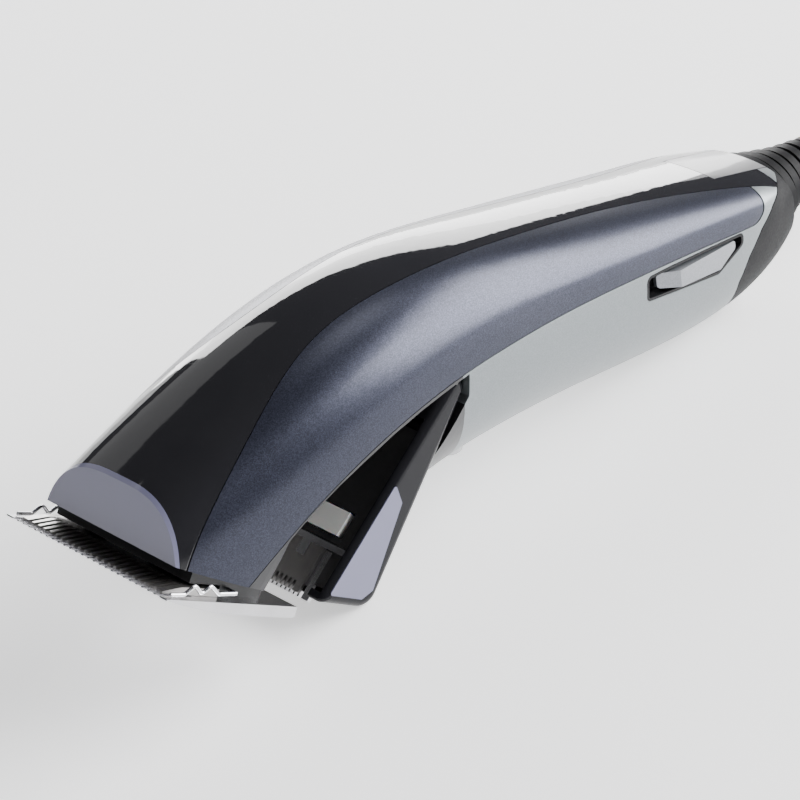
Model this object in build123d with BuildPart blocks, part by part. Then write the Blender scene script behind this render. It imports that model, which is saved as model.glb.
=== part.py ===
from build123d import *
import os
from math import atan2, cos, degrees, pi, radians, sin

os.makedirs("parts", exist_ok=True)

# A mains hair clipper with a pop-out detail trimmer under its head, in millimetres.
# +X runs from the blade to the cord, +Z is up, and -Y is the left side, which carries the switch.
# It lies as on a table: on the open trimmer's end and on the belly of the handle.

# ---------------- overall sizes ----------------
tip_x = -111.0             # blade tips; X = 0 is the middle of the whole length
tip_z = 31.0               # blade tips above the table
blade_tilt = 33.5          # degrees that the blade falls towards its heel
head_length = 77.0         # blade tips to the trimmer's hinge
handle_length = 107.0      # trimmer's hinge to the end of the tail
body_half_width = 22.6     # at the back of the head, where the body is widest
wall = 2.0                 # moulded walls
seam_gap = 0.2             # gap between neighbouring mouldings, seen as a fine dark line
fit_gap = 0.3              # loose fit between a moving piece and what is round it
run_gap = 0.05             # running fit of a pin or a blade


def at(distance):
    """X of a point this far behind the blade tips."""
    return tip_x + distance


def along(share):
    """Distance behind the tips of a point at this share of the handle."""
    return head_length + handle_length * share


# Sections of the body: distance behind the tips, share of the half width, top, widest level,
# bottom, and how square the crown is.
sections = [
    (5.0, 0.885, 40.3, 16.0, 6.0, 3.2),
    (20.0, 0.942, 45.5, 22.0, 7.0, 2.8),
    (36.0, 0.987, 50.3, 28.5, 8.5, 2.4),
    (53.0, 1.0, 54.0, 34.0, 9.5, 2.2),
    (71.0, 0.973, 55.5, 37.5, 10.5, 2.1),
    (along(0.13), 0.938, 53.4, 37.0, 10.0, 2.1),
    (along(0.36), 0.885, 47.2, 34.5, 6.8, 2.1),
    (along(0.59), 0.832, 40.5, 31.0, 2.6, 2.1),
    (along(0.79), 0.779, 34.6, 27.5, 0.6, 2.2),
    (along(0.92), 0.717, 30.7, 24.5, 2.6, 2.3),
    (along(1.0), 0.63, 28.2, 21.0, 8.0, 2.4),
]
belly_squareness = 2.4
ring_points = 24


def body_form(inset):
    """The closed outer form of the body, shrunk by the inset."""
    with BuildPart() as form:
        for distance, share, top, widest, bottom, crown in sections:
            if distance == sections[-1][0]:
                distance -= inset
            half = body_half_width * share - inset
            points = []
            for i in range(ring_points):
                a = 2 * pi * i / ring_points
                power = 2 / (crown if sin(a) > 0 else belly_squareness)
                reach = top - inset - widest if sin(a) > 0 else widest - bottom - inset
                y = half * abs(cos(a)) ** power * (1 if cos(a) > 0 else -1)
                z = widest + reach * abs(sin(a)) ** power * (1 if sin(a) > 0 else -1)
                points.append((y, z))
            with BuildSketch(Plane.YZ.offset(at(distance))):
                with BuildLine():
                    Spline(*points, periodic=True)
                make_face()
        loft()
    return form.part


def side_plate(points, half_width, side=0):
    """A prism with this side-view outline (distance, height), as wide as twice half_width;
    side -1 or 1 keeps only the left or the right half."""
    with BuildPart() as plate:
        with BuildSketch(Plane.XZ):
            with BuildLine():
                Polyline(*[(at(s), z) for s, z in points], close=True)
            make_face()
        extrude(amount=half_width, both=True)
        if side:
            with Locations((0, -side * 60, 0)):
                Box(600, 120, 400, mode=Mode.SUBTRACT)
    return plate.part


outer = body_form(0)
inner = body_form(wall)

# ---------------- the shell and its seams ----------------
head_end_tilt = 40.2
head_end = Plane(
    origin=(at(6.5), 0, 32.2),
    x_dir=(cos(radians(head_end_tilt)), 0, -sin(radians(head_end_tilt))),
    z_dir=(sin(radians(head_end_tilt)), 0, cos(radians(head_end_tilt))),
)
nose_face = Plane(origin=(at(6.3), 0, 32.2), x_dir=(0, 1, 0), z_dir=(0.932, 0, -0.362))
panel_end = along(0.893)           # rear end of the side panels
cover_end = along(0.972)           # rear end of the top cover

# The cord leaves through a hole in the tail's end wall, inside a rubber boot.
boot_s, boot_z, boot_tilt, boot_long = sections[-1][0], 18.3, 3.0, 37.0
neck_r = 5.6                       # the boot's neck and the hole it sits in
boot_plane = Plane(
    origin=(at(boot_s), 0, boot_z),
    x_dir=(0, 1, 0),
    z_dir=(cos(radians(boot_tilt)), 0, -sin(radians(boot_tilt))),
)

# The boot's rubber also wraps the underside of the tail, in a step moulded round the housing.
keel_thick = 1.0
keel_edge = [(163.5, -10), (163.5, 12), (166, 17.5), (170, 22.5), (175, 25.6), (180, 26.9), (boot_s + 10, 27.3)]


def under_tail(extra):
    """Prism over the part of the tail that the boot wraps, cut back by extra at its front edge."""
    return side_plate([*[(s + extra, z - extra) for s, z in keel_edge], (boot_s + 10, -10)], 40)


with BuildPart() as keel_skin:
    add(outer)
    add(body_form(keel_thick), mode=Mode.SUBTRACT)
    add(under_tail(0), mode=Mode.INTERSECT)
with BuildPart() as cavity:
    add(inner)
    split(bisect_by=head_end)
    split(bisect_by=nose_face.offset(wall))

with BuildPart() as shell:
    add(outer)
    split(bisect_by=head_end)
    split(bisect_by=nose_face)
    add(cavity.part, mode=Mode.SUBTRACT)
    add(keel_skin.part, mode=Mode.SUBTRACT)
    with BuildSketch(boot_plane.offset(-8)):
        Circle(neck_r)
    extrude(amount=16, mode=Mode.SUBTRACT)


def cover_strip(extra):
    """Upright prism over the top cover: as wide as the nose, then narrow along the handle."""
    edge = [(-2, 20.4), (7, 19.2), (30, 14.3), (54, 8.6), (74, 8.6), (along(0.27), 8.0)]
    edge += [(along(0.5), 7.3), (along(0.72), 9.0), (along(0.93), 12.8), (cover_end, 13.6)]
    edge = [(at(s), y + extra) for s, y in edge]
    with BuildPart() as strip:
        with BuildSketch():
            with BuildLine():
                Spline(*edge)
                Line(edge[-1], (edge[-1][0], -edge[-1][1]))
                Spline(*[(x, -y) for x, y in edge])
                Line(edge[0], (edge[0][0], -edge[0][1]))
            make_face()
        extrude(amount=80)
    return strip.part


def above_seam(extra, end):
    """Prism over everything above the seam between the side panels and the lower housing."""
    seam = [(-6, 9.0), (19.5, 21.3), (33, 27.8), (50, 33.4), (head_length, 36.6)]
    seam += [(along(0.36), 33.8), (along(0.55), 30.6), (along(0.79), 25.8), (end, 23.8)]
    seam = [(at(s), z - extra) for s, z in seam]
    seam[-1] = (seam[-1][0] + extra, seam[-1][1])
    with BuildPart() as region:
        with BuildSketch(Plane.XZ):
            with BuildLine():
                Spline(*seam)
                Polyline(seam[-1], (seam[-1][0], 75), (seam[0][0], 75), seam[0])
            make_face()
            fillet(vertices().group_by(Axis.X)[-1].sort_by(Axis.Y)[0], 5)
        extrude(amount=40, both=True)
    return region.part


# The pocket under the head that the trimmer folds into, and the wall in front of the belly
# that its back rests on when it is out.
hinge_s, hinge_z = head_length, 33.0
trim_half = 20.5                   # half of the trimmer's width
ear = 3.0                          # thickness of the ears that its hinge pins are pressed into
hinge_r = 2.3                      # round end of the trimmer, about its hinge
heel_r = 4.0                       # round lower corner of the trimmer, which stands on the table
heel_s, heel_z = head_length - 29.8, heel_r
lip_s, lip_z = head_length - 40.1, 7.2      # front lower corner of the trimmer
lip_r = 0.6
stop_gap = 0.4                     # between the open trimmer's back and the belly's front wall
# Roof of the pocket, from the front end of the side wall back to the hinge.
roof_line = [(-20, -26), (23, 18.4), (30, 25.8), (36, 28.6), (43, 30.9), (50, 32.6), (58, 34.2), (66, 35.2)]
roof_line += [(hinge_s + 2.5, 36.0)]
back_angle = atan2(hinge_z - heel_z, hinge_s - heel_s) + atan2(heel_r - hinge_r, 41.6)
back_x, back_z = sin(back_angle), -cos(back_angle)


def over_roof(rise):
    """The roof line lifted by this much."""
    return [(s, z + rise) for s, z in roof_line]


def back(t, extra=0.0):
    """Point on the belly's front wall, t mm down from the hinge."""
    reach = hinge_r + stop_gap + extra
    return (
        hinge_s + reach * back_x - t * cos(back_angle),
        hinge_z + reach * back_z - t * sin(back_angle),
    )


pocket = side_plate([*roof_line, back(0), back(60), (0, -30)], 40)
with BuildPart() as inner_clear:
    add(body_form(wall + 0.15))

# ---------------- nose trim, tail cap and top cover ----------------
trim_thick = 0.8
cap_start, cap_half = along(0.845), 7.2
with BuildPart() as nose_trim:
    add(shell.part)
    add(above_seam(0, cover_end), mode=Mode.INTERSECT)
    add(cover_strip(0), mode=Mode.INTERSECT)
    split(bisect_by=nose_face.offset(trim_thick), keep=Keep.BOTTOM)
with BuildPart() as tail_window:
    with BuildSketch(Plane.XY.offset(20)):
        with Locations(((at(cap_start) + at(200)) / 2, 0)):
            Rectangle(200 - cap_start, 2 * cap_half)
    extrude(amount=60)
with BuildPart() as tail_cap:
    add(shell.part)
    with BuildSketch(Plane.XY.offset(20)):
        with Locations(((at(cap_start + seam_gap) + at(200)) / 2, 0)):
            Rectangle(200 - cap_start - seam_gap, 2 * (cap_half - seam_gap))
    extrude(amount=60, mode=Mode.INTERSECT)
with BuildPart() as top_cover:
    add(shell.part)
    add(above_seam(0, cover_end), mode=Mode.INTERSECT)
    add(cover_strip(0), mode=Mode.INTERSECT)
    split(bisect_by=nose_face.offset(trim_thick + 0.05))
    add(tail_window.part, mode=Mode.SUBTRACT)

# ---------------- side panels and lower housing ----------------
panels = {}
for name, side in (("left_side_panel", -1), ("right_side_panel", 1)):
    with BuildPart() as panel:
        add(shell.part)
        add(above_seam(0, panel_end), mode=Mode.INTERSECT)
        add(cover_strip(seam_gap), mode=Mode.SUBTRACT)
        with Locations((0, -side * 60, 0)):
            Box(600, 120, 400, mode=Mode.SUBTRACT)
    panels[name] = panel

# ---------------- switch opening in the lower housing ----------------
recess_front, recess_back = along(0.515), along(0.81)
recess_outline = [
    (recess_front, 24.2), (recess_front, 30.2), (recess_front + 7, 29.2),
    (recess_back, 25.0), (recess_back, 22.0), (recess_back - 8, 18.6),
]


def switch_prism(shrink, points=None, round_r=1.5):
    """Prism through the left wall over the switch opening, shrunk all round."""
    with BuildPart() as prism:
        with BuildSketch(Plane.XZ):
            with BuildLine():
                Polyline(*[(at(s), z) for s, z in (points or recess_outline)], close=True)
            make_face()
            fillet(vertices(), round_r)
            if shrink:
                offset(amount=-shrink, mode=Mode.REPLACE)
        extrude(amount=40)
    return prism.part


tray_depth, tray_wall = 3.2, 0.7
tray_form = body_form(tray_depth)
with BuildPart() as tray_room:
    add(switch_prism(tray_wall))
    add(body_form(tray_depth - tray_wall), mode=Mode.SUBTRACT)
stem_s, stem_z = along(0.665), 24.6        # the button's stem, through the bezel to the switch
stem_w, stem_h = 3.0, 2.0
crest_y = 0.894 * body_half_width  # how far the button stands out from the middle
switch_face = crest_y - 7.4        # the switch's face, behind the bezel
switch_travel = 3.0
stem_slot_w = stem_w + switch_travel + 2 * fit_gap
with BuildPart() as switch_bezel:
    add(outer)
    add(switch_prism(seam_gap / 2), mode=Mode.INTERSECT)
    add(tray_form, mode=Mode.SUBTRACT)
    add(tray_room.part, mode=Mode.SUBTRACT)
    with BuildSketch(Plane.XZ):
        with Locations((at(stem_s) - switch_travel / 2, stem_z)):
            Rectangle(stem_slot_w, stem_h + 2 * fit_gap)
    extrude(amount=40, mode=Mode.SUBTRACT)

button_front, button_back = recess_front + switch_travel + 1.5, recess_back - 2.7
button_outline = [
    (button_front, 24.9), (button_front, 28.4), (button_back, 24.3),
    (button_back, 22.4), (button_back - 5.8, 20.4),
]
crest_s = button_front + 4.7       # the thumb ridge, where the button stands proudest
with BuildPart() as button_wedge:
    with BuildSketch():
        with BuildLine():
            Polyline((at(button_front), 2.5 - crest_y), (at(crest_s), -crest_y), (at(button_back), 2.6 - crest_y),
                     (at(button_back), -10), (at(button_front), -10), close=True)
        make_face()
    extrude(amount=60)
with BuildPart() as switch_button:
    add(button_wedge.part)
    add(switch_prism(0, button_outline, 0.9), mode=Mode.INTERSECT)
    add(body_form(tray_depth - tray_wall - fit_gap - 0.1), mode=Mode.SUBTRACT)
    with BuildSketch(Plane.XZ.offset(switch_face - 1.0)):
        with Locations((at(stem_s), stem_z)):
            Rectangle(stem_w, stem_h)
    extrude(amount=5.5)

# ---------------- lower housing ----------------
front_screws = [(head_length + 5.5, 9.6), (head_length + 5.5, -9.6)]
rear_screw = (along(0.77), 0.0)
screw_r, screw_head_r, screw_head_h = 1.15, 2.6, 1.8
post_r, boss_r = 3.0, 2.8
front_top, rear_top = 39.0, 24.0   # where the posts meet the bosses from above
front_seat, rear_seat = 14.4, 5.2  # faces that the screw heads pull against
board_start, board_end, board_z, board_thick = along(0.5), along(0.735), 13.0, 1.6
board_posts = [board_start + 3.0, board_end - 3.0]
spigot_r = 1.2
screw_places = [(s, y, front_seat, front_top) for s, y in front_screws]
screw_places += [(*rear_screw, rear_seat, rear_top)]

with BuildPart() as below_panels:
    add(outer)
    add(keel_skin.part, mode=Mode.SUBTRACT)
    add(above_seam(seam_gap, panel_end + seam_gap), mode=Mode.SUBTRACT)
    add(inner_clear.part)
with BuildPart() as bulkheads:
    add(side_plate([*roof_line, *reversed(over_roof(wall))], 40))
    add(side_plate([back(-6), back(60), back(60, wall), back(-6, wall)], 40))
    add(below_panels.part, mode=Mode.INTERSECT)
    split(bisect_by=head_end)

lever_tilt = 12.0
pivot_s, pivot_z = head_length - 32.0, 38.8
lever_plane = Plane(
    origin=(at(pivot_s), 0, pivot_z),
    x_dir=(cos(radians(lever_tilt)), 0, sin(radians(lever_tilt))),
    z_dir=(-sin(radians(lever_tilt)), 0, cos(radians(lever_tilt))),
)
lever_thick = 2.5
pivot_r, pivot_sunk = 1.25, 5.6    # the pivot pin, and how far below the lever it reaches

lug_out = trim_half - ear - fit_gap
lug_in = lug_out - 4.2
with BuildPart() as hinge_lugs:
    with BuildSketch(Plane.XZ):
        with Locations((at(hinge_s), hinge_z)):
            Circle(hinge_r)
        with Locations((at(hinge_s + 4.6), hinge_z + 3.0)):
            Circle(1.2)
        make_hull()
    extrude(amount=lug_out, both=True)
    with Locations((at(hinge_s), 0, hinge_z)):
        Box(20, 2 * lug_in, 20, mode=Mode.SUBTRACT)

with BuildPart() as screw_posts:
    for s, y, seat, top in screw_places:
        with BuildSketch(Plane.XY):
            with Locations((at(s), y)):
                Circle(post_r)
        extrude(amount=top)
    for s in board_posts:
        with BuildSketch(Plane.XY):
            with Locations((at(s), 0)):
                Circle(2 * spigot_r)
        extrude(amount=board_z)
        with BuildSketch(Plane.XY.offset(board_z - 1)):
            with Locations((at(s), 0)):
                Circle(spigot_r)
        extrude(amount=1 + board_thick + 0.8)
    add(below_panels.part, mode=Mode.INTERSECT)

with BuildPart() as cover_zone:
    add(cover_strip(seam_gap))
    add(above_seam(seam_gap, cover_end + seam_gap), mode=Mode.INTERSECT)
with BuildPart() as lower_housing:
    add(shell.part)
    add(above_seam(seam_gap, panel_end + seam_gap), mode=Mode.SUBTRACT)
    add(cover_zone.part, mode=Mode.SUBTRACT)
    add(tail_window.part, mode=Mode.SUBTRACT)
    add(bulkheads.part)
    add(screw_posts.part)
    add(pocket, mode=Mode.SUBTRACT)
    add(hinge_lugs.part)
    with BuildSketch(lever_plane.offset(-lever_thick / 2 - 0.1)):
        Circle(3.0)
    extrude(amount=-4.6)
    with BuildSketch(lever_plane):
        Circle(pivot_r)
    extrude(amount=-pivot_sunk, mode=Mode.SUBTRACT)
    add(switch_prism(0), mode=Mode.SUBTRACT)
    for s, y, seat, top in screw_places:
        with BuildSketch(Plane.XY):
            with Locations((at(s), y)):
                Circle(screw_head_r + 0.1)
        extrude(amount=seat, mode=Mode.SUBTRACT)
        with BuildSketch(Plane.XY):
            with Locations((at(s), y)):
                Circle(screw_r)
        extrude(amount=top + 1, mode=Mode.SUBTRACT)
    with BuildSketch(Plane.XZ.offset(40)):
        with Locations((at(hinge_s), hinge_z)):
            Circle(1.0 + run_gap)
    extrude(amount=-80, mode=Mode.SUBTRACT)

# ---------------- blade set ----------------
tilt = radians(blade_tilt)
blade_face = Plane(origin=(tip_x, 0, tip_z), x_dir=(cos(tilt), 0, -sin(tilt)), z_dir=(sin(tilt), 0, cos(tilt)))
blade_side = Plane(origin=(tip_x, 0, tip_z), x_dir=(cos(tilt), 0, -sin(tilt)), z_dir=(0, -1, 0))
blade_width, blade_long, blade_thick = 46.0, 34.0, 2.2
tooth_pitch, tooth_long = 1.7, 8.5
cutter_width, cutter_thick, cutter_back = 40.0, 1.5, 15.5
cutter_set = 1.4                   # the moving teeth stand this far behind the fixed ones
stroke = 1.3                       # the moving blade travels this far each way
carrier_width, carrier_front, carrier_heel = 38.0, 8.5, 27.5
follower_w, follower_u, follower_h = 12.0, 12.5, 3.0
window_w = follower_w + 2 * stroke + 2 * fit_gap


def tooth_slots(pitch, width, start, length, mouth, root):
    """Flat outline of the gaps between the teeth of a comb of this width."""
    count = int((width - 2.4) / pitch)
    with BuildSketch() as slots:
        with Locations((start, 0)):
            with GridLocations(1, pitch, 1, count):
                Polygon((-1.5, -mouth), (0, -mouth), (length, -root), (length, root), (0, mouth),
                        (-1.5, mouth), align=None)
    return slots.sketch


with BuildPart() as fixed_blade:
    with BuildSketch(blade_side):
        with BuildLine():
            Polyline((0, 0), (blade_long, 0), (blade_long, -blade_thick + 0.3), (blade_long - 0.6, -blade_thick),
                     (13.0, -blade_thick), (3.0, -0.9), (0, -0.3), close=True)
        make_face()
    extrude(amount=blade_width / 2, both=True)
    with BuildSketch(blade_face):
        add(tooth_slots(tooth_pitch, blade_width, 0, tooth_long, 0.55, 0.3))
    extrude(amount=5, both=True, mode=Mode.SUBTRACT)
    with Locations(blade_face):
        with Locations((22.0, 11.0), (22.0, -11.0)):
            Cylinder(1.25, 20, mode=Mode.SUBTRACT)
            with Locations((0, 0, -blade_thick - 5 + 0.9)):
                Cylinder(2.4, 10, mode=Mode.SUBTRACT)

with BuildPart() as moving_blade:
    with BuildSketch(blade_side):
        with BuildLine():
            Polyline((cutter_set, run_gap), (cutter_back, run_gap), (cutter_back, cutter_thick),
                     (6.0, cutter_thick), (cutter_set, 0.5), close=True)
        make_face()
    extrude(amount=cutter_width / 2, both=True)
    with BuildSketch(blade_face):
        add(tooth_slots(tooth_pitch, cutter_width, cutter_set, 6.2, 0.5, 0.3))
    extrude(amount=5, both=True, mode=Mode.SUBTRACT)

with BuildPart() as cam_follower:
    with BuildSketch(blade_side):
        with Locations((follower_u, cutter_thick + follower_h / 2)):
            Rectangle(5.0, follower_h)
    extrude(amount=follower_w / 2, both=True)
    with BuildSketch(blade_face.offset(cutter_thick + 0.6)):
        with Locations((follower_u, 0)):
            Rectangle(3.4, 2.7)
    extrude(amount=6, mode=Mode.SUBTRACT)

with BuildPart() as carrier_plug:
    add(body_form(wall + 0.2))
    split(bisect_by=head_end)
    split(bisect_by=head_end.offset(2.5), keep=Keep.BOTTOM)
    split(bisect_by=nose_face.offset(wall + 0.2))
    add(side_plate([*over_roof(wall + 0.15), (80, 90), (-20, 90)], 40), mode=Mode.INTERSECT)
with BuildPart() as blade_carrier:
    with BuildSketch(blade_side):
        with BuildLine():
            Polyline((carrier_front, 2.0), (16.5, 2.0), (16.5, 0), (carrier_heel, 0), (carrier_heel, 6.0),
                     (carrier_front, 9.0), close=True)
        make_face()
    extrude(amount=carrier_width / 2, both=True)
    split(bisect_by=head_end, keep=Keep.BOTTOM)
    add(carrier_plug.part)
    with BuildSketch(blade_face):
        with Locations((follower_u, 0)):
            Rectangle(5.0 + 2 * fit_gap + 0.4, window_w)
    extrude(amount=12, mode=Mode.SUBTRACT)
    with BuildSketch(blade_face.offset(3.4)):
        with Locations((follower_u + 4, 0)):
            Rectangle(16.0, window_w)
    extrude(amount=12, mode=Mode.SUBTRACT)
    with Locations(blade_face):
        with Locations((22.0, 11.0), (22.0, -11.0)):
            Cylinder(1.2, 20, mode=Mode.SUBTRACT)

with BuildPart() as blade_screws:
    with Locations(blade_face):
        for v in (-11.0, 11.0):
            with Locations((22.0, v, -blade_thick + 0.45)):
                Cylinder(2.3, 0.9)
            with Locations((22.0, v, -blade_thick + 0.9)):
                Cylinder(1.18, 3.0, align=(Align.CENTER, Align.CENTER, Align.MIN))

# Wavy tension spring: one wire on each side of the moving blade, anchored in the carrier.
spring_r, spring_v = 0.4, 21.9
with BuildPart() as blade_spring:
    for side in (-1, 1):
        route = [(1.6, 0.5), (5.0, 0.7), (7.2, 2.6), (9.2, 1.0), (11.2, 2.7), (13.6, 1.2), (18.0, 1.5)]
        with BuildLine(blade_side.offset(-side * spring_v)) as wire:
            FilletPolyline(*route, radius=0.8)
        with BuildSketch(Plane(origin=wire.line @ 0, z_dir=wire.line % 0)):
            Circle(spring_r)
        sweep(path=wire.line)
        with BuildSketch(Plane(origin=(wire.line @ 1), z_dir=(0, -side, 0))):
            Circle(spring_r)
        extrude(amount=spring_v - carrier_width / 2)

# ---------------- drive lever ----------------
lever_front = (follower_u * cos(tilt) - pivot_s) / cos(radians(lever_tilt)) + 2.1
lever_back = 43.3
eccentric_s, motor_z = head_length + 10.0, 30.0
eccentric_throw, crank_r = 1.44, 1.0
with BuildPart() as drive_lever:
    with BuildSketch(lever_plane):
        with BuildLine():
            Polyline((lever_front, -2.6), (-3, -4.6), (6, -4.6), (lever_back, -2.6), (lever_back, 2.6),
                     (6, 4.6), (-3, 4.6), (lever_front, 2.6), close=True)
        make_face()
        Circle(pivot_r + run_gap, mode=Mode.SUBTRACT)
    extrude(amount=lever_thick / 2, both=True)
    with BuildSketch(blade_face.offset(cutter_thick + 0.9)):
        with Locations((follower_u, 0)):
            Circle(1.2)
    extrude(amount=7.0)
    with BuildSketch(Plane.YZ.offset(at(eccentric_s) - 1.0)):
        with Locations((0, 37.0)):
            Rectangle(2 * 6.2, 20.0)
        with Locations((0, motor_z - 1.5)):
            Rectangle(2 * 4.25, 10.0, mode=Mode.SUBTRACT)
    extrude(amount=2.0)
with BuildPart() as lever_pivot_pin:
    with BuildSketch(lever_plane.offset(-pivot_sunk)):
        Circle(pivot_r)
    extrude(amount=pivot_sunk + lever_thick / 2 + 0.15)
    with BuildSketch(lever_plane.offset(lever_thick / 2 + 0.15)):
        Circle(2.4)
    extrude(amount=0.9)

# ---------------- motor ----------------
motor_r, motor_start, motor_long, motor_cap_long = 11.8, head_length + 16.0, 24.0, 4.0
shaft_r = 1.15
with BuildPart() as motor_can:
    with BuildSketch(Plane.YZ.offset(at(motor_start))):
        with Locations((0, motor_z)):
            Circle(motor_r)
    extrude(amount=motor_long)
    fillet(edges().group_by(Axis.X)[0], 1.2)
    with BuildSketch(Plane.YZ.offset(at(motor_start) - 1.4)):
        with Locations((0, motor_z)):
            Circle(3.2)
    extrude(amount=1.4)
    with BuildSketch(Plane.YZ.offset(at(motor_start) - 5)):
        with Locations((0, motor_z)):
            Circle(shaft_r + run_gap)
    extrude(amount=motor_long, mode=Mode.SUBTRACT)
with BuildPart() as motor_end_cap:
    with BuildSketch(Plane.YZ.offset(at(motor_start + motor_long))):
        with Locations((0, motor_z)):
            Circle(motor_r - 0.5)
    extrude(amount=motor_cap_long)
    fillet(edges().group_by(Axis.X)[-1], 1.0)
    with Locations((at(motor_start + motor_long + motor_cap_long) + 1.0, 5.5, motor_z),
                   (at(motor_start + motor_long + motor_cap_long) + 1.0, -5.5, motor_z)):
        Box(3.0, 0.6, 2.4)
with BuildPart() as motor_shaft:
    with BuildSketch(Plane.YZ.offset(at(eccentric_s) + 2.0)):
        with Locations((0, motor_z)):
            Circle(shaft_r)
    extrude(amount=15.0)
with BuildPart() as drive_eccentric:
    with BuildSketch(Plane.YZ.offset(at(eccentric_s) + 1.6)):
        with Locations((0, motor_z)):
            Circle(4.0)
            Circle(shaft_r, mode=Mode.SUBTRACT)
    extrude(amount=2.6)
    with BuildSketch(Plane.YZ.offset(at(eccentric_s) + 1.6)):
        with Locations((0, motor_z)):
            Circle(4.0)
    extrude(amount=0.4)
    with BuildSketch(Plane.YZ.offset(at(eccentric_s) + 1.6)):
        with Locations((0, motor_z + eccentric_throw)):
            Circle(crank_r)
    extrude(amount=-3.4)

cradle_ribs = [motor_start + 4.0, motor_start + motor_long - 6.0]
with BuildPart() as motor_cradle:
    for s in cradle_ribs:
        with BuildSketch(Plane.YZ.offset(at(s))):
            with Locations((0, motor_z - 10)):
                Rectangle(32.0, 40.0)
        extrude(amount=2.5)
    with BuildSketch(Plane.YZ.offset(at(cradle_ribs[0]))):
        with Locations((0, motor_z - motor_r - 2.5)):
            Rectangle(14.0, 2.4)
    extrude(amount=cradle_ribs[1] - cradle_ribs[0])
    split(bisect_by=Plane.XY.offset(motor_z), keep=Keep.BOTTOM)
    add(body_form(wall + 0.3), mode=Mode.INTERSECT)
    with BuildSketch(Plane.YZ.offset(at(motor_start - 10))):
        with Locations((0, motor_z)):
            Circle(motor_r + 0.1)
    extrude(amount=motor_long + 40, mode=Mode.SUBTRACT)
with BuildPart() as motor_clamp:
    for s in cradle_ribs:
        with BuildSketch(Plane.YZ.offset(at(s))):
            with Locations((0, motor_z)):
                Circle(motor_r + 1.1)
                Circle(motor_r + 0.1, mode=Mode.SUBTRACT)
            with Locations((0, motor_z - 15 + 0.15)):
                Rectangle(60, 30, mode=Mode.SUBTRACT)
        extrude(amount=2.5)

# ---------------- pop-out detail trimmer ----------------
# Worked on the plane of its open front face: p mm from its free end, v across, q out of the face.
trim_wall = 1.6
pin_r, pin_cover = 1.0, 0.8        # hinge pins, and the skin left over their outer ends
front_angle = atan2(hinge_z - lip_z, hinge_s - lip_s) + atan2(hinge_r - lip_r, 47.7)
fa, fb = cos(front_angle), sin(front_angle)
trim_plane = Plane(
    origin=(at(lip_s - lip_r * fb), 0, lip_z + lip_r * fa), x_dir=(fa, 0, fb), z_dir=(-fb, 0, fa)
)
trim_side = Plane(origin=trim_plane.origin, x_dir=(fa, 0, fb), z_dir=(0, -1, 0))
trim_long = 47.7                   # free end to hinge
heel_p, heel_q = 6.6, -9.1         # centre of the round lower corner
comb_half, comb_long, comb_thick = trim_half - 4.5, 9.0, 0.85
cutter_half, trim_stroke = comb_half - 2.5, 0.8
comb_top, cutter_top = -1.35, -0.6
yoke_p, yoke_l, yoke_half, yoke_h = 14.7, 5.0, comb_half - 1.0, 3.5
tail_half = 5.0                    # the moving blade's tail, which the yoke pushes
accent_deep = 0.6
trim_teeth = 1.2                   # pitch of the trimmer's teeth


def trim_slab(p0, p1, half, top, thick):
    """A flat slab in the trimmer: from p0 to p1, as wide as twice half, its face at q = top."""
    with BuildPart() as slab:
        with BuildSketch(trim_plane.offset(top)):
            with Locations(((p0 + p1) / 2, 0)):
                Rectangle(p1 - p0, 2 * half)
        extrude(amount=-thick)
    return slab.part


accents = {}
for name, side in (("trimmer_left_accent", -1), ("trimmer_right_accent", 1)):
    with BuildPart() as accent:
        with BuildSketch(trim_side.offset(-side * (trim_half - accent_deep))):
            with BuildLine():
                Polyline((1.5, -0.9), (26.0, -0.9), (24.0, -5.2), (7.2, -11.1), (4.5, -9.6), close=True)
            make_face()
            fillet(vertices(), 0.5)
        extrude(amount=-side * accent_deep)
    accents[name] = accent

with BuildPart() as trimmer_cover:
    with BuildSketch(trim_side):
        for p, q, r in ((0, -lip_r, lip_r), (heel_p, heel_q, heel_r), (trim_long, -hinge_r, hinge_r)):
            with Locations((p, q)):
                Circle(r)
        make_hull()
    extrude(amount=trim_half, both=True)
    back_edges = [
        e for face in faces().sort_by(Axis.Y)[::len(faces()) - 1] for e in face.edges()
        if trim_plane.to_local_coords(e.center()).Z < -5.0
    ]
    fillet(back_edges, 1.8)
    with BuildSketch(trim_side):
        for p, q, r in ((1.8, -2.0, 0.6), (heel_p, heel_q, heel_r - trim_wall), (38.7, -2.9, 0.9)):
            with Locations((p, q), (p, q + 12)):
                Circle(r)
        make_hull()
    extrude(amount=trim_half - trim_wall, both=True, mode=Mode.SUBTRACT)
    add(trim_slab(trim_long - 5.5, trim_long + 9, trim_half - ear, 9, 20), mode=Mode.SUBTRACT)
    add(trim_slab(-4, 4, comb_half + fit_gap, 3, 3 - comb_top + comb_thick), mode=Mode.SUBTRACT)
    with BuildSketch(Plane.XZ):
        with Locations((at(hinge_s), hinge_z)):
            Circle(pin_r)
    extrude(amount=trim_half - pin_cover, both=True, mode=Mode.SUBTRACT)
    for accent in accents.values():
        add(accent.part, mode=Mode.SUBTRACT)

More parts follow.
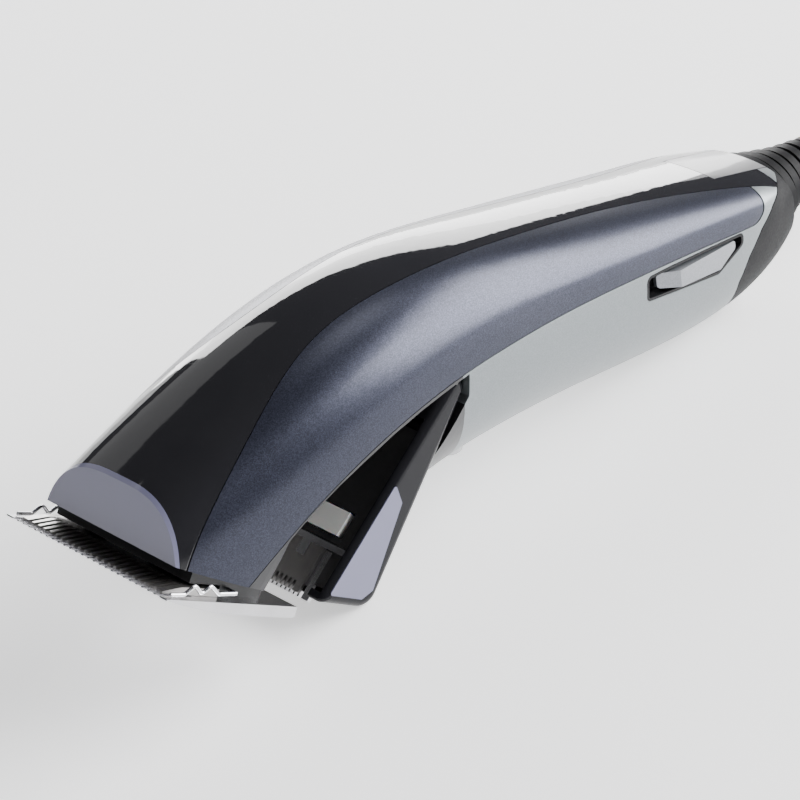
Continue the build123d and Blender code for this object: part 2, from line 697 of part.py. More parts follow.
base_half = trim_half - trim_wall
base_top, base_bottom = -0.3, -3.4
spring_bottom = cutter_top + 0.03
with BuildPart() as trimmer_base:
    add(trim_slab(2.0, 37.0, base_half, base_top, base_top - base_bottom))
    add(trim_slab(0, comb_long + 1.6, base_half + 1, 0, -spring_bottom), mode=Mode.SUBTRACT)
    add(trim_slab(0, comb_long + 1.6, comb_half, 0, comb_thick - comb_top), mode=Mode.SUBTRACT)
    add(trim_slab(yoke_p - yoke_l / 2 - fit_gap, yoke_p + yoke_l / 2 + fit_gap,
                  yoke_half + trim_stroke + fit_gap, 0, 9), mode=Mode.SUBTRACT)
    add(trim_slab(comb_long, yoke_p, tail_half + trim_stroke + fit_gap, 0, 0.4 - comb_top), mode=Mode.SUBTRACT)
with BuildPart() as trimmer_fixed_blade:
    add(trim_slab(-1.4, comb_long, comb_half, comb_top, comb_thick))
    with BuildSketch(trim_plane):
        add(tooth_slots(trim_teeth, 2 * comb_half, -1.4, 2.6, 0.4, 0.25))
    extrude(amount=8, both=True, mode=Mode.SUBTRACT)
with BuildPart() as trimmer_moving_blade:
    add(trim_slab(-0.8, comb_long + 0.6, cutter_half, cutter_top, cutter_top - comb_top - run_gap))
    with BuildSketch(trim_plane):
        add(tooth_slots(trim_teeth, 2 * cutter_half, -0.8, 2.0, 0.4, 0.25))
    extrude(amount=8, both=True, mode=Mode.SUBTRACT)
    add(trim_slab(comb_long, yoke_p - yoke_l / 2, tail_half, cutter_top, cutter_top - comb_top - run_gap))
with BuildPart() as trimmer_yoke:
    add(trim_slab(yoke_p - yoke_l / 2, yoke_p + yoke_l / 2, yoke_half, 0, yoke_h))
    add(trim_slab(comb_long + 1.9, yoke_p, tail_half, -0.15, -cutter_top - 0.15))
    add(trim_slab(yoke_p - 1.3, yoke_p + 1.3, 3.5, 1, 9), mode=Mode.SUBTRACT)
with BuildPart() as trimmer_blade_spring:
    add(trim_slab(comb_long + 0.1, comb_long + 1.4, base_half, spring_bottom + 0.3, 0.3))
    for v in (-9.0, 9.0):
        with BuildSketch(trim_plane.offset(spring_bottom + 0.3)):
            with Locations((comb_long - 1.4, v)):
                Rectangle(3.2, 2.2)
        extrude(amount=-0.3)
with BuildPart() as trimmer_hinge_pins:
    with BuildSketch(Plane.XZ.offset(trim_half - pin_cover)):
        with Locations((at(hinge_s), hinge_z)):
            Circle(pin_r)
    extrude(amount=-(trim_half - pin_cover - lug_in - 0.5))
    mirror(about=Plane.XZ)

# ---------------- cord boot and the clamp behind it ----------------
cord_r = 3.0
boot_form = [(0.0, 12.8, 9.2), (5.0, 10.0, 7.8), (12.0, 7.2, 6.4), (22.0, 5.4, 5.2), (boot_long, 4.6, 4.6)]
ring_count, ring_pitch, ring_thick, groove = 9, 3.3, 1.9, 1.1


def boot_size(t):
    """Half width and half height of the boot's envelope, t mm from the tail."""
    for (t0, w0, h0), (t1, w1, h1) in zip(boot_form, boot_form[1:]):
        if t <= t1:
            k = (t - t0) / (t1 - t0)
            return w0 + k * (w1 - w0), h0 + k * (h1 - h0)
    return boot_form[-1][1:]


keel_trim = side_plate(
    [*keel_edge[:-1], (boot_s, 27.2)] + [(boot_s, 27.2 - seam_gap)]
    + [(s + seam_gap, z - seam_gap) for s, z in reversed(keel_edge[:-1])], 40)
with BuildPart() as cord_boot:
    for t, w, h in boot_form:
        with BuildSketch(boot_plane.offset(t)):
            Ellipse(w - groove, h - groove)
    loft(ruled=True)
    for i in range(ring_count):
        w, h = boot_size(i * ring_pitch + ring_thick / 2)
        with BuildSketch(boot_plane.offset(i * ring_pitch + 0.5)):
            Ellipse(w, h)
        extrude(amount=ring_thick)
    split(bisect_by=Plane(origin=(at(boot_s), 0, 0), z_dir=(1, 0, 0)))
    add(keel_skin.part)
    add(keel_trim, mode=Mode.SUBTRACT)
    with BuildSketch(boot_plane.offset(-5.0)):
        Circle(neck_r - run_gap)
    extrude(amount=6.0)
    with BuildSketch(boot_plane.offset(-5.0)):
        Circle(neck_r + 1.8)
    extrude(amount=2.5)
    with BuildSketch(boot_plane.offset(-6.0)):
        Circle(cord_r)
    extrude(amount=boot_long + 8, mode=Mode.SUBTRACT)

clamp_s, clamp_half = boot_s - 12.0, 7.0
with BuildPart() as cord_clamp:
    with BuildSketch(Plane.YZ.offset(at(clamp_s))):
        with Locations((0, boot_z + 0.5)):
            RectangleRounded(2 * clamp_half + 4, 10.0, 2.0)
            Circle(cord_r, mode=Mode.SUBTRACT)
    extrude(amount=4.0)
    for y in (-clamp_half, clamp_half):
        with BuildSketch(Plane.XY.offset(boot_z - 4)):
            with Locations((at(clamp_s) + 2.0, y)):
                Circle(1.6)
        extrude(amount=-20.0)
    add(body_form(wall + fit_gap), mode=Mode.INTERSECT)

# ---------------- control board and switch ----------------
board_top = board_z + board_thick
with BuildPart() as circuit_board:
    with BuildSketch(Plane.XY.offset(board_z)):
        with Locations((at((board_start + board_end) / 2), 0)):
            RectangleRounded(board_end - board_start, 22.0, 1.0)
        for s in board_posts:
            with Locations((at(s), 0)):
                Circle(spigot_r, mode=Mode.SUBTRACT)
    extrude(amount=board_thick)
with BuildPart() as board_parts:
    with Locations((at(board_start + 9.5), -2.3, board_top)):
        Cylinder(4.0, 11.0, align=(Align.CENTER, Align.CENTER, Align.MIN))
    with Locations((at(board_start + 9.5), 6.0, board_top)):
        Box(8.0, 5.0, 7.0, align=(Align.CENTER, Align.CENTER, Align.MIN))
    for i in range(4):
        with Locations((at(board_start + 17.5), -5.4 + 3.6 * i, board_top)):
            Box(4.0, 2.2, 2.0, align=(Align.CENTER, Align.CENTER, Align.MIN))
with BuildPart() as slide_switch:
    with BuildSketch(Plane.XZ.offset(switch_face)):
        with Locations((at(stem_s) - switch_travel / 2, stem_z)):
            Rectangle(13.0, 6.4)
    extrude(amount=-5.6)
    with BuildSketch(Plane.XZ.offset(switch_face)):
        with Locations((at(stem_s) - switch_travel / 2, stem_z)):
            Rectangle(stem_slot_w, stem_h + 2 * fit_gap)
    extrude(amount=-1.6, mode=Mode.SUBTRACT)

# ---------------- screw bosses and screws ----------------
boss_form = body_form(wall - 0.5)
with BuildPart() as under_cover:
    add(cover_strip(seam_gap))
    add(body_form(wall + fit_gap), mode=Mode.SUBTRACT)
for name, side in (("left_side_panel", -1), ("right_side_panel", 1)):
    with BuildPart() as boss:
        with BuildSketch(Plane.XY.offset(front_top)):
            with Locations((at(front_screws[0][0]), side * front_screws[0][1])):
                Circle(boss_r)
        extrude(amount=40)
        add(boss_form, mode=Mode.INTERSECT)
        add(under_cover.part, mode=Mode.SUBTRACT)
    with BuildPart() as bossed:
        add(panels[name].part)
        add(boss.part)
        with BuildSketch(Plane.XY.offset(front_top)):
            with Locations((at(front_screws[0][0]), side * front_screws[0][1])):
                Circle(screw_r)
        extrude(amount=6.5, mode=Mode.SUBTRACT)
    panels[name] = bossed
with BuildPart() as rear_boss:
    with BuildSketch(Plane.XY.offset(rear_top)):
        with Locations((at(rear_screw[0]), 0)):
            Circle(boss_r)
    extrude(amount=40)
    add(boss_form, mode=Mode.INTERSECT)
with BuildPart() as top_cover_bossed:
    add(top_cover.part)
    add(rear_boss.part)
    with BuildSketch(Plane.XY.offset(rear_top)):
        with Locations((at(rear_screw[0]), 0)):
            Circle(screw_r)
    extrude(amount=6.5, mode=Mode.SUBTRACT)
with BuildPart() as housing_screws:
    for s, y, seat, top in screw_places:
        with BuildSketch(Plane.XY.offset(seat)):
            with Locations((at(s), y)):
                Circle(screw_head_r)
        extrude(amount=-screw_head_h)
        with BuildSketch(Plane.XY.offset(seat)):
            with Locations((at(s), y)):
                Circle(screw_r - 0.02)
        extrude(amount=top + 6.0 - seat)
        with BuildSketch(Plane.XY.offset(seat - screw_head_h)):
            with Locations((at(s), y)):
                Rectangle(3.4, 0.7)
                Rectangle(0.7, 3.4)
        extrude(amount=1.0, mode=Mode.SUBTRACT)

# ---------------- the finished pieces ----------------
pieces = {
    "top_cover": top_cover_bossed,
    "nose_trim": nose_trim,
    "tail_cap": tail_cap,
    "lower_housing": lower_housing,
    "switch_bezel": switch_bezel,
    "switch_button": switch_button,
    "slide_switch": slide_switch,
    "fixed_blade": fixed_blade,
    "moving_blade": moving_blade,
    "cam_follower": cam_follower,
    "blade_carrier": blade_carrier,
    "blade_screws": blade_screws,
    "blade_spring": blade_spring,
    "drive_lever": drive_lever,
    "lever_pivot_pin": lever_pivot_pin,
    "motor_can": motor_can,
    "motor_end_cap": motor_end_cap,
    "motor_shaft": motor_shaft,
    "drive_eccentric": drive_eccentric,
    "motor_cradle": motor_cradle,
    "motor_clamps": motor_clamp,
    "trimmer_cover": trimmer_cover,
    "trimmer_base": trimmer_base,
    "trimmer_fixed_blade": trimmer_fixed_blade,
    "trimmer_moving_blade": trimmer_moving_blade,
    "trimmer_yoke": trimmer_yoke,
    "trimmer_blade_spring": trimmer_blade_spring,
    "trimmer_hinge_pins": trimmer_hinge_pins,
    "cord_boot": cord_boot,
    "cord_clamp": cord_clamp,
    "circuit_board": circuit_board,
    "board_parts": board_parts,
    "housing_screws": housing_screws,
    **panels,
    **accents,
}
for name, piece in pieces.items():
    piece.part.label = name
    export_step(piece.part, f"parts/{name}.step")
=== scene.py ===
import math

import bpy
import bmesh
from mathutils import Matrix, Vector


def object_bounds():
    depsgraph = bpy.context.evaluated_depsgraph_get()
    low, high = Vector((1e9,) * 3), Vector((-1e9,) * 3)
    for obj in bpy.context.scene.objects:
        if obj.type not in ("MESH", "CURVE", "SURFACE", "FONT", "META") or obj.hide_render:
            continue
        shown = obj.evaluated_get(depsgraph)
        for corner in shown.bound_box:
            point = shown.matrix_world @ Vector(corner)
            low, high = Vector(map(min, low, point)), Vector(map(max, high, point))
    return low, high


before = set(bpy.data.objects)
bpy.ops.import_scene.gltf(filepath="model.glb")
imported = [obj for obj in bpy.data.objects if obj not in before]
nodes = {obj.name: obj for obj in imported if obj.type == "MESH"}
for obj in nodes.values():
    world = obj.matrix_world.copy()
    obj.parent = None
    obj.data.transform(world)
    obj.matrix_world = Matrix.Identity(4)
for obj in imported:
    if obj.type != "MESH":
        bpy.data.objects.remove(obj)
cad_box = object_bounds()


# ---- Camera ----
# A long lens looks down on the clipper from its front left corner, close enough that the cord boot
# runs out of the picture.
lens = bpy.data.cameras.new("studio_lens")
lens.lens = 144.0
lens.sensor_width = 36.0
lens.clip_start = 0.01
camera = bpy.data.objects.new("studio_camera", lens)
camera.location = (-0.3762, -0.4079, 0.3580)
camera.rotation_euler = (math.radians(57.555), math.radians(7.007), math.radians(-44.650))
bpy.context.scene.collection.objects.link(camera)
bpy.context.scene.camera = camera


# ---- Studio: lit white table, dim room and light cards ----
# The clipper lies on a plain white table that glows softly from within, in a dim room. Even light
# cards stand round it, one for each broad highlight on the gloss and on the paint.
def link_nodes(tree, *pairs):
    """Joins output to input sockets, given as (node, "output", node, "input")."""
    for source, out, target, into in pairs:
        tree.links.new(source.outputs[out], target.inputs[into])


def add_node(tree, kind, **values):
    """A node with its settings and input values; an input's name has spaces where the key has _."""
    node = tree.nodes.new(kind)
    for key, value in values.items():
        if hasattr(node, key):
            setattr(node, key, value)
        else:
            node.inputs[key.replace("_", " ")].default_value = value
    return node


def new_material(name, **shader_values):
    """A material with a Principled shader, whose plain values are set on its own sockets."""
    material = bpy.data.materials.new(name)
    material.use_nodes = True
    shader = material.node_tree.nodes["Principled BSDF"]
    for key, value in shader_values.items():
        shader.inputs[key.replace("_", " ")].default_value = value
    return material, material.node_tree, shader


floor_mesh = bpy.data.meshes.new("table_top")
shape = bmesh.new()
steps = [(-1.2, 0.0), (1.2, 0.0), (1.4, 0.02), (1.55, 0.09), (1.62, 0.22), (1.64, 0.36)]
rows = [[shape.verts.new((x, y, z)) for x in (-2.2, 2.2)] for y, z in steps]
for low, high in zip(rows, rows[1:]):
    shape.faces.new((low[0], low[1], high[1], high[0]))
bmesh.ops.recalc_face_normals(shape, faces=shape.faces)
shape.to_mesh(floor_mesh)
shape.free()
floor = bpy.data.objects.new("table_top", floor_mesh)
floor.rotation_euler[2] = math.radians(-40)
floor.location[2] = cad_box[0][2] - 0.0002
for face in floor_mesh.polygons:
    face.use_smooth = True
bpy.context.scene.collection.objects.link(floor)
table_paint, tree, shader = new_material("table_paint", Roughness=0.55)
shader.inputs["Specular IOR Level"].default_value = 0.25
shader.inputs["Emission Color"].default_value = (1.0, 1.0, 1.0, 1)
shader.inputs["Emission Strength"].default_value = 0.85
place = add_node(tree, "ShaderNodeTexCoord")
mottle = add_node(tree, "ShaderNodeTexNoise", Scale=9.0, Detail=3.0)
tint = add_node(tree, "ShaderNodeMix", data_type="RGBA")
tint.inputs[6].default_value = (0.90, 0.90, 0.91, 1)
tint.inputs[7].default_value = (0.94, 0.94, 0.94, 1)
link_nodes(tree, (place, "Object", mottle, "Vector"), (mottle, "Fac", tint, 0), (tint, 2, shader, "Base Color"))
floor_mesh.materials.append(table_paint)

world = bpy.data.worlds.new("studio_sky")
bpy.context.scene.world = world
world.use_nodes = True
sky = world.node_tree.nodes["Background"]
sky.inputs["Strength"].default_value = 1.0
heading = add_node(world.node_tree, "ShaderNodeTexCoord")
level = add_node(world.node_tree, "ShaderNodeSeparateXYZ")
screens = add_node(world.node_tree, "ShaderNodeValToRGB")
screens.color_ramp.interpolation = "EASE"
screens.color_ramp.elements[0].position = 0.02
screens.color_ramp.elements[0].color = (0.95, 0.95, 0.96, 1)
screens.color_ramp.elements[1].position = 0.14
screens.color_ramp.elements[1].color = (0.12, 0.12, 0.13, 1)
link_nodes(world.node_tree, (heading, "Generated", level, "Vector"), (level, "Z", screens, "Fac"),
           (screens, "Color", sky, "Color"))


def card(name, azimuth, elevation, distance, width, height, radiance):
    """A flat diffuser of even brightness that faces the clipper, seen from it in this direction, in
    degrees."""
    middle = Vector((0, 0, 0.03))
    turn, rise = math.radians(azimuth), math.radians(elevation)
    level_reach = distance * math.cos(rise)
    lamp = bpy.data.lights.new(name, "AREA")
    lamp.shape = "RECTANGLE"
    lamp.size = width
    lamp.size_y = height
    lamp.energy = radiance * math.pi * width * height
    holder = bpy.data.objects.new(name, lamp)
    holder.location = middle + Vector((level_reach * math.cos(turn), level_reach * math.sin(turn),
                                       distance * math.sin(rise)))
    holder.rotation_euler = (middle - holder.location).to_track_quat("-Z", "Y").to_euler()
    bpy.context.scene.collection.objects.link(holder)


card("backdrop_card", 53, 13, 1.3, 0.95, 0.62, 9.0)
card("left_card", -33, 27, 1.2, 1.15, 0.85, 17.0)
card("high_card", 92, 33, 1.3, 0.90, 0.55, 0.6)
card("top_card", 0, 66, 1.2, 0.30, 0.35, 4.5)
card("blade_card", 113, 46, 1.3, 0.50, 0.40, 2.6)


# ---- Top cover, gloss black ----
# One injection-moulded ABS shell from the nose to the cord, polished in the mould. It is hooked
# under the nose and held by the screw at the tail; fingers leave faint smears on it.
def new_group(name, inputs, outputs):
    """A shader node group with named sockets: inputs are (name, kind, value), outputs (name, kind)."""
    group = bpy.data.node_groups.new(name, "ShaderNodeTree")
    for socket, kind, value in inputs:
        made = group.interface.new_socket(socket, in_out="INPUT", socket_type=kind)
        made.default_value = value
    for socket, kind in outputs:
        group.interface.new_socket(socket, in_out="OUTPUT", socket_type=kind)
    return group, group.nodes.new("NodeGroupInput"), group.nodes.new("NodeGroupOutput")


def use_effect(tree, group, shader, **values):
    """Places an effect group in a material and joins every output it has to the shader."""
    placed = add_node(tree, "ShaderNodeGroup", node_tree=group)
    for key, value in values.items():
        placed.inputs[key.replace("_", " ")].default_value = value
    for output in placed.outputs:
        target = {"Colour": "Base Color"}.get(output.name, output.name)
        tree.links.new(output, shader.inputs[target])
    return placed


effect, given, result = new_group(
    "polished_moulding",
    [("Tone", "NodeSocketColor", (0.01, 0.01, 0.01, 1)), ("Haze", "NodeSocketFloat", 0.12),
     ("Smear", "NodeSocketFloat", 0.08), ("Ripple", "NodeSocketFloat", 0.02)],
    [("Colour", "NodeSocketColor"), ("Roughness", "NodeSocketFloat"), ("Normal", "NodeSocketVector")],
)
place = add_node(effect, "ShaderNodeTexCoord")
smears = add_node(effect, "ShaderNodeTexNoise", Scale=45.0, Detail=6.0, Roughness=0.62, Distortion=1.2)
hairlines = add_node(effect, "ShaderNodeTexNoise", Scale=260.0, Detail=4.0)
stretch = add_node(effect, "ShaderNodeMapping")
stretch.inputs["Scale"].default_value = (0.12, 1.6, 1.6)
fine = add_node(effect, "ShaderNodeMapRange")
fine.inputs["From Min"].default_value = 0.58
fine.inputs["From Max"].default_value = 0.72
both = add_node(effect, "ShaderNodeMath", operation="MULTIPLY_ADD")
both.inputs[1].default_value = 0.6
spread = add_node(effect, "ShaderNodeMath", operation="MULTIPLY_ADD")
ripple = add_node(effect, "ShaderNodeTexNoise", Scale=420.0, Detail=1.0)
bump = add_node(effect, "ShaderNodeBump", Distance=0.0002)
tone = add_node(effect, "ShaderNodeMix", data_type="RGBA", blend_type="ADD")
grey = add_node(effect, "ShaderNodeMath", operation="MULTIPLY")
grey.inputs[1].default_value = 0.012
link_nodes(
    effect,
    (place, "Object", smears, "Vector"), (place, "Object", stretch, "Vector"),
    (stretch, "Vector", hairlines, "Vector"),
    (place, "Object", ripple, "Vector"), (hairlines, "Fac", fine, "Value"), (fine, "Result", both, 0),
    (smears, "Fac", both, 2), (both, "Value", spread, 0), (given, "Smear", spread, 1), (given, "Haze", spread, 2),
    (spread, "Value", result, "Roughness"), (ripple, "Fac", bump, "Height"), (given, "Ripple", bump, "Strength"),
    (bump, "Normal", result, "Normal"), (smears, "Fac", grey, 0), (grey, "Value", tone, 0),
    (given, "Tone", tone, 6), (tone, 2, result, "Colour"),
)
tone.inputs[7].default_value = (0.5, 0.5, 0.52, 1)
polished_moulding = effect


def dress(material, *names):
    """Gives these CAD nodes the material."""
    for name in names:
        node = nodes[name]
        if not node.material_slots:
            node.data.materials.append(material)
        for slot in node.material_slots:
            slot.material = material


gloss_black, tree, shader = new_material("gloss_black", Coat_Weight=0.4, Coat_Roughness=0.03)
use_effect(tree, polished_moulding, shader, Tone=(0.008, 0.008, 0.010, 1), Haze=0.02, Smear=0.05, Ripple=0.02)
dress(gloss_black, "top_cover")


# ---- Nose trim, lavender ----
# A flat facet of lavender acrylic is glued to the front of the cover, behind the teeth.
lavender_acrylic, tree, shader = new_material("lavender_acrylic", Coat_Weight=0.2, Coat_Roughness=0.05)
use_effect(tree, polished_moulding, shader, Tone=(0.145, 0.145, 0.225, 1), Haze=0.10, Smear=0.08, Ripple=0.01)
dress(lavender_acrylic, "nose_trim", "trimmer_left_accent", "trimmer_right_accent")


# ---- Tail cap, dark gloss ----
# A separate glossy cap closes the back of the cover over the cord's clamp.
cap_black, tree, shader = new_material("cap_black", Coat_Weight=0.5, Coat_Roughness=0.06)
use_effect(tree, polished_moulding, shader, Tone=(0.020, 0.020, 0.024, 1), Haze=0.28, Smear=0.10, Ripple=0.03)
dress(cap_black, "tail_cap")


# ---- Side panels, slate-blue metallic ----
# Each flank is a thin ABS panel sprayed with slate-blue metallic paint under a satin clear coat,
# so that fine flakes sparkle where the light grazes it.
effect, given, result = new_group(
    "flake_paint",
    [("Ground", "NodeSocketColor", (0.1, 0.1, 0.1, 1)), ("Flake", "NodeSocketColor", (0.5, 0.5, 0.5, 1)),
     ("Coverage", "NodeSocketFloat", 0.5), ("Satin", "NodeSocketFloat", 0.35), ("Depth", "NodeSocketFloat", 0.1)],
    [("Colour", "NodeSocketColor"), ("Roughness", "NodeSocketFloat"), ("Normal", "NodeSocketVector")],
)
place = add_node(effect, "ShaderNodeTexCoord")
flakes = add_node(effect, "ShaderNodeTexVoronoi", Scale=7500.0)
brightness = add_node(effect, "ShaderNodeSeparateColor")
sparkle = add_node(effect, "ShaderNodeMapRange")
sparkle.inputs["From Min"].default_value = 0.25
clouds = add_node(effect, "ShaderNodeTexNoise", Scale=28.0, Detail=4.0)
amount = add_node(effect, "ShaderNodeMath", operation="MULTIPLY")
paint = add_node(effect, "ShaderNodeMix", data_type="RGBA")
rough = add_node(effect, "ShaderNodeMath", operation="MULTIPLY_ADD")
rough.inputs[1].default_value = 0.10
shift = add_node(effect, "ShaderNodeMath", operation="SUBTRACT")
shift.inputs[1].default_value = 0.05
peel = add_node(effect, "ShaderNodeTexNoise", Scale=1500.0, Detail=2.0)
bump = add_node(effect, "ShaderNodeBump", Distance=0.0001)
link_nodes(
    effect,
    (place, "Object", flakes, "Vector"), (flakes, "Color", brightness, "Color"), (brightness, 0, sparkle, "Value"),
    (sparkle, "Result", amount, 0), (given, "Coverage", amount, 1), (amount, "Value", paint, 0),
    (given, "Ground", paint, 6), (given, "Flake", paint, 7), (paint, 2, result, "Colour"),
    (place, "Object", clouds, "Vector"), (clouds, "Fac", rough, 0), (given, "Satin", rough, 2),
    (rough, "Value", shift, 0), (shift, "Value", result, "Roughness"), (place, "Object", peel, "Vector"),
    (peel, "Fac", bump, "Height"), (given, "Depth", bump, "Strength"), (bump, "Normal", result, "Normal"),
)
flake_paint = effect
slate_metallic, tree, shader = new_material("slate_metallic", Metallic=0.75, Coat_Weight=0.25, Coat_Roughness=0.25)
use_effect(tree, flake_paint, shader, Ground=(0.015, 0.017, 0.029, 1), Flake=(0.058, 0.064, 0.102, 1), Coverage=0.5,
           Satin=0.33, Depth=0.12)
dress(slate_metallic, "left_side_panel", "right_side_panel")


# ---- Lower housing, silver ----
# The belly and the walls round the trimmer's pocket are one moulding, sprayed in a slightly cool silver.
# Forward of the trimmer's hinge the colour is painted near-black and not metallic: painted shade, the dark reflection
# of the trimmer cover in the silver.
silver_metallic, tree, shader = new_material("silver_metallic", Coat_Weight=0.2, Coat_Roughness=0.3)
sprayed = use_effect(tree, flake_paint, shader, Ground=(0.18, 0.20, 0.21, 1), Flake=(0.28, 0.305, 0.32, 1),
                     Coverage=0.5, Satin=0.34, Depth=0.12)
# Along the body, where the silver gives way to the near-black painted reflection of the trimmer cover.
dark_reflection_ends, silver_full, painted_metallic = -0.0336, -0.0330, 0.7
place = add_node(tree, "ShaderNodeTexCoord")
along_body = add_node(tree, "ShaderNodeSeparateXYZ")
reflection_edge = add_node(tree, "ShaderNodeMapRange")
reflection_edge.inputs["From Min"].default_value = dark_reflection_ends
reflection_edge.inputs["From Max"].default_value = silver_full
reflection_edge.inputs["To Max"].default_value = painted_metallic
silver_or_reflection = add_node(tree, "ShaderNodeMix", data_type="RGBA")
# Near-black forward of the hinge: painted shade, the dark reflection of the trimmer cover.
silver_or_reflection.inputs[6].default_value = (0.010, 0.010, 0.012, 1)
silver_share = add_node(tree, "ShaderNodeMath", operation="GREATER_THAN")
silver_share.inputs[1].default_value = painted_metallic / 2
link_nodes(tree, (place, "Object", along_body, "Vector"), (along_body, "X", reflection_edge, "Value"),
           (reflection_edge, "Result", shader, "Metallic"), (reflection_edge, "Result", silver_share, 0),
           (silver_share, "Value", silver_or_reflection, 0), (sprayed, "Colour", silver_or_reflection, 7), (silver_or_reflection, 2, shader, "Base Color"))
dress(silver_metallic, "lower_housing")


# ---- Switch: black tray and silver button ----
# A glossy black tray lines the opening in the left flank. The button slides in it and is a silver
# moulding.
tray_black, tree, shader = new_material("tray_black", IOR=1.22)
use_effect(tree, polished_moulding, shader, Tone=(0.008, 0.008, 0.009, 1), Haze=0.16, Smear=0.12, Ripple=0.03)
dress(tray_black, "switch_bezel")
button_silver, tree, shader = new_material("button_silver", Metallic=0.65, Coat_Weight=0.3, Coat_Roughness=0.2)
use_effect(tree, flake_paint, shader, Ground=(0.20, 0.21, 0.23, 1), Flake=(0.34, 0.35, 0.38, 1), Coverage=0.5,
           Satin=0.30, Depth=0.10)
dress(button_silver, "switch_button")


# ---- Blade set, ground steel ----
# The fixed comb and the cutter are hardened steel, ground across the teeth on a wheel, so the
# scratches run across them. The comb is polished after grinding.
effect, given, result = new_group(
    "ground_metal",
    [("Metal", "NodeSocketColor", (0.6, 0.6, 0.6, 1)), ("Grain", "NodeSocketVector", (80.0, 3000.0, 3000.0)),
     ("Polish", "NodeSocketFloat", 0.2), ("Streak", "NodeSocketFloat", 0.15), ("Depth", "NodeSocketFloat", 0.1)],
    [("Colour", "NodeSocketColor"), ("Roughness", "NodeSocketFloat"), ("Normal", "NodeSocketVector")],
)
place = add_node(effect, "ShaderNodeTexCoord")
draw = add_node(effect, "ShaderNodeVectorMath", operation="MULTIPLY")
lines = add_node(effect, "ShaderNodeTexNoise", Scale=1.0, Detail=5.0, Roughness=0.6)
stain = add_node(effect, "ShaderNodeTexNoise", Scale=160.0, Detail=3.0)
darker = add_node(effect, "ShaderNodeMix", data_type="RGBA", blend_type="MULTIPLY")
darker.inputs[7].default_value = (0.62, 0.61, 0.60, 1)
weak = add_node(effect, "ShaderNodeMath", operation="MULTIPLY")
weak.inputs[1].default_value = 0.55
rough = add_node(effect, "ShaderNodeMath", operation="MULTIPLY_ADD")
bump = add_node(effect, "ShaderNodeBump", Distance=0.0001)
link_nodes(
    effect,
    (place, "Object", draw, 0), (given, "Grain", draw, 1), (draw, "Vector", lines, "Vector"),
    (place, "Object", stain, "Vector"), (stain, "Fac", weak, 0), (weak, "Value", darker, 0),
    (given, "Metal", darker, 6), (darker, 2, result, "Colour"), (lines, "Fac", rough, 0), (given, "Streak", rough, 1),
    (given, "Polish", rough, 2), (rough, "Value", result, "Roughness"), (lines, "Fac", bump, "Height"),
    (given, "Depth", bump, "Strength"), (bump, "Normal", result, "Normal"),
)
ground_metal = effect
comb_steel, tree, shader = new_material("comb_steel", Metallic=1.0)
use_effect(tree, ground_metal, shader, Metal=(0.66, 0.66, 0.68, 1), Grain=(2600.0, 60.0, 2600.0), Polish=0.13,
           Streak=0.18, Depth=0.08)
dress(comb_steel, "fixed_blade", "trimmer_fixed_blade")
cutter_steel, tree, shader = new_material("cutter_steel", Metallic=1.0)
use_effect(tree, ground_metal, shader, Metal=(0.42, 0.41, 0.40, 1), Grain=(2200.0, 90.0, 2200.0), Polish=0.24,
           Streak=0.2, Depth=0.12)
dress(cutter_steel, "moving_blade", "trimmer_moving_blade")


# ---- Springs and small plated steel ----
# The wavy wire that presses the cutter down and the trimmer's leaf are bright spring steel. The
# screws, pins and shaft are zinc plated.
bright_spring, tree, shader = new_material("bright_spring", Metallic=1.0)
use_effect(tree, ground_metal, shader, Metal=(0.80, 0.80, 0.82, 1), Grain=(500.0, 500.0, 500.0), Polish=0.07,
           Streak=0.10, Depth=0.04)
dress(bright_spring, "blade_spring", "trimmer_blade_spring")
plated_steel, tree, shader = new_material("plated_steel", Metallic=1.0)
use_effect(tree, ground_metal, shader, Metal=(0.55, 0.55, 0.56, 1), Grain=(900.0, 900.0, 900.0), Polish=0.26,
           Streak=0.2, Depth=0.1)
dress(plated_steel, "blade_screws", "housing_screws", "lever_pivot_pin", "motor_shaft", "drive_eccentric",
      "trimmer_hinge_pins", "motor_can", "motor_clamps")


# ---- Blade carrier and other matt black mouldings ----
# Glass-filled nylon with a fine spark-eroded texture: the carrier behind the blade, the trimmer's
# base plate, and the cradle, clamp and motor cap inside.
effect, given, result = new_group(
    "textured_moulding",
    [("Tone", "NodeSocketColor", (0.03, 0.03, 0.03, 1)), ("Dust", "NodeSocketColor", (0.10, 0.10, 0.10, 1)),
     ("Matt", "NodeSocketFloat", 0.5), ("Grain Size", "NodeSocketFloat", 2600.0), ("Depth", "NodeSocketFloat", 0.3)],
    [("Colour", "NodeSocketColor"), ("Roughness", "NodeSocketFloat"), ("Normal", "NodeSocketVector")],
)
place = add_node(effect, "ShaderNodeTexCoord")
grain = add_node(effect, "ShaderNodeTexNoise", Detail=3.0)
bloom = add_node(effect, "ShaderNodeTexNoise", Scale=70.0, Detail=5.0, Roughness=0.65)
settle = add_node(effect, "ShaderNodeMapRange")
settle.inputs["From Min"].default_value = 0.45
settle.inputs["From Max"].default_value = 0.85
settle.inputs["To Max"].default_value = 0.6
tone = add_node(effect, "ShaderNodeMix", data_type="RGBA")
rough = add_node(effect, "ShaderNodeMath", operation="MULTIPLY_ADD")
rough.inputs[1].default_value = 0.2
bump = add_node(effect, "ShaderNodeBump", Distance=0.0001)
link_nodes(
    effect,
    (place, "Object", grain, "Vector"), (given, "Grain Size", grain, "Scale"), (place, "Object", bloom, "Vector"),
    (bloom, "Fac", settle, "Value"), (settle, "Result", tone, 0), (given, "Tone", tone, 6), (given, "Dust", tone, 7),
    (tone, 2, result, "Colour"), (grain, "Fac", rough, 0), (given, "Matt", rough, 2),
    (rough, "Value", result, "Roughness"), (grain, "Fac", bump, "Height"), (given, "Depth", bump, "Strength"),
    (bump, "Normal", result, "Normal"),
)
textured_moulding = effect
black_nylon, tree, shader = new_material("black_nylon")
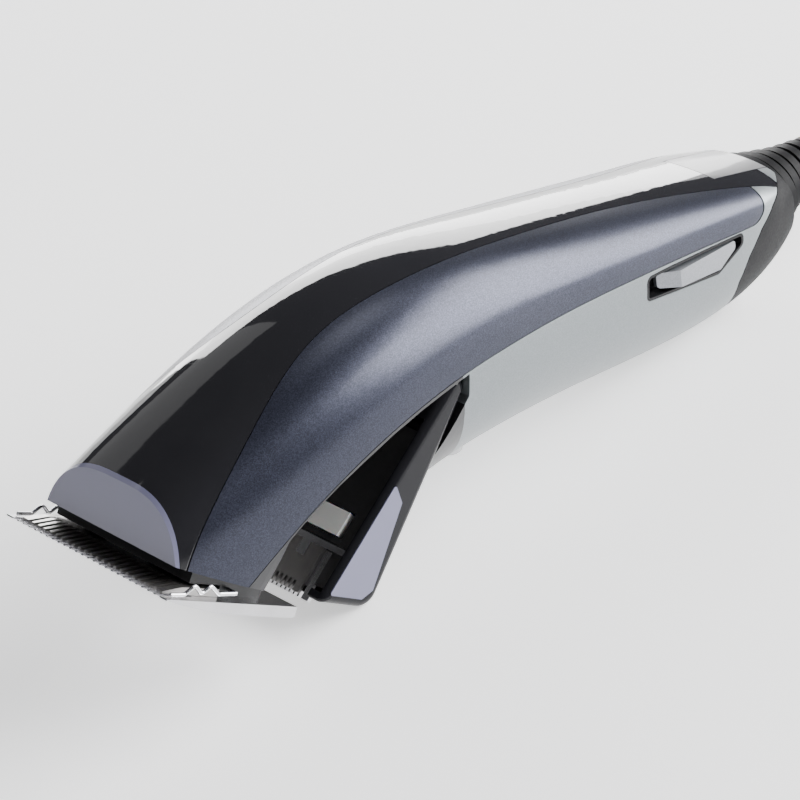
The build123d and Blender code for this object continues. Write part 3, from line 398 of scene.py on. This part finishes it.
use_effect(tree, textured_moulding, shader, Tone=(0.007, 0.007, 0.008, 1), Dust=(0.028, 0.028, 0.028, 1), Matt=0.38,
           Grain_Size=3000.0, Depth=0.25)
dress(black_nylon, "blade_carrier", "trimmer_base", "motor_cradle", "motor_end_cap", "cord_clamp", "slide_switch")


# ---- White acetal: drive lever, cutter follower and trimmer yoke ----
# Parts that rub are natural white acetal, slightly translucent and greased.
white_acetal, tree, shader = new_material("white_acetal", Subsurface_Weight=0.15, Subsurface_Scale=0.002)
use_effect(tree, textured_moulding, shader, Tone=(0.80, 0.80, 0.77, 1), Dust=(0.60, 0.60, 0.56, 1), Matt=0.30,
           Grain_Size=1400.0, Depth=0.08)
dress(white_acetal, "drive_lever", "cam_follower", "trimmer_yoke")


# ---- Trimmer cover, gloss black ----
# The folding cover is moulded in the same gloss black as the top; its pocketed underside carries
# the small blade set.
trimmer_black, tree, shader = new_material("trimmer_black", IOR=1.28)
use_effect(tree, polished_moulding, shader, Tone=(0.008, 0.008, 0.010, 1), Haze=0.03, Smear=0.06, Ripple=0.02)
dress(trimmer_black, "trimmer_cover")


# ---- Cord boot, soft black PVC ----
# The ribbed boot is overmoulded on the cord in soft PVC, matt, with a little dust on it in patches.
boot_pvc, tree, shader = new_material("boot_pvc", IOR=1.22)
use_effect(tree, textured_moulding, shader, Tone=(0.006, 0.006, 0.007, 1), Dust=(0.022, 0.022, 0.022, 1), Matt=0.46,
           Grain_Size=1800.0, Depth=0.30)
dress(boot_pvc, "cord_boot")


# ---- Control board ----
# A small green laminate board stands on two posts under the switch, with its capacitor, relay
# and four small devices.
board_green, tree, shader = new_material("board_green", Coat_Weight=0.3, Coat_Roughness=0.15)
use_effect(tree, textured_moulding, shader, Tone=(0.02, 0.10, 0.035, 1), Dust=(0.05, 0.17, 0.07, 1), Matt=0.32,
           Grain_Size=900.0, Depth=0.10)
dress(board_green, "circuit_board")
device_black, tree, shader = new_material("device_black")
use_effect(tree, textured_moulding, shader, Tone=(0.02, 0.02, 0.022, 1), Dust=(0.07, 0.07, 0.07, 1), Matt=0.42,
           Grain_Size=2000.0, Depth=0.20)
dress(device_black, "board_parts")
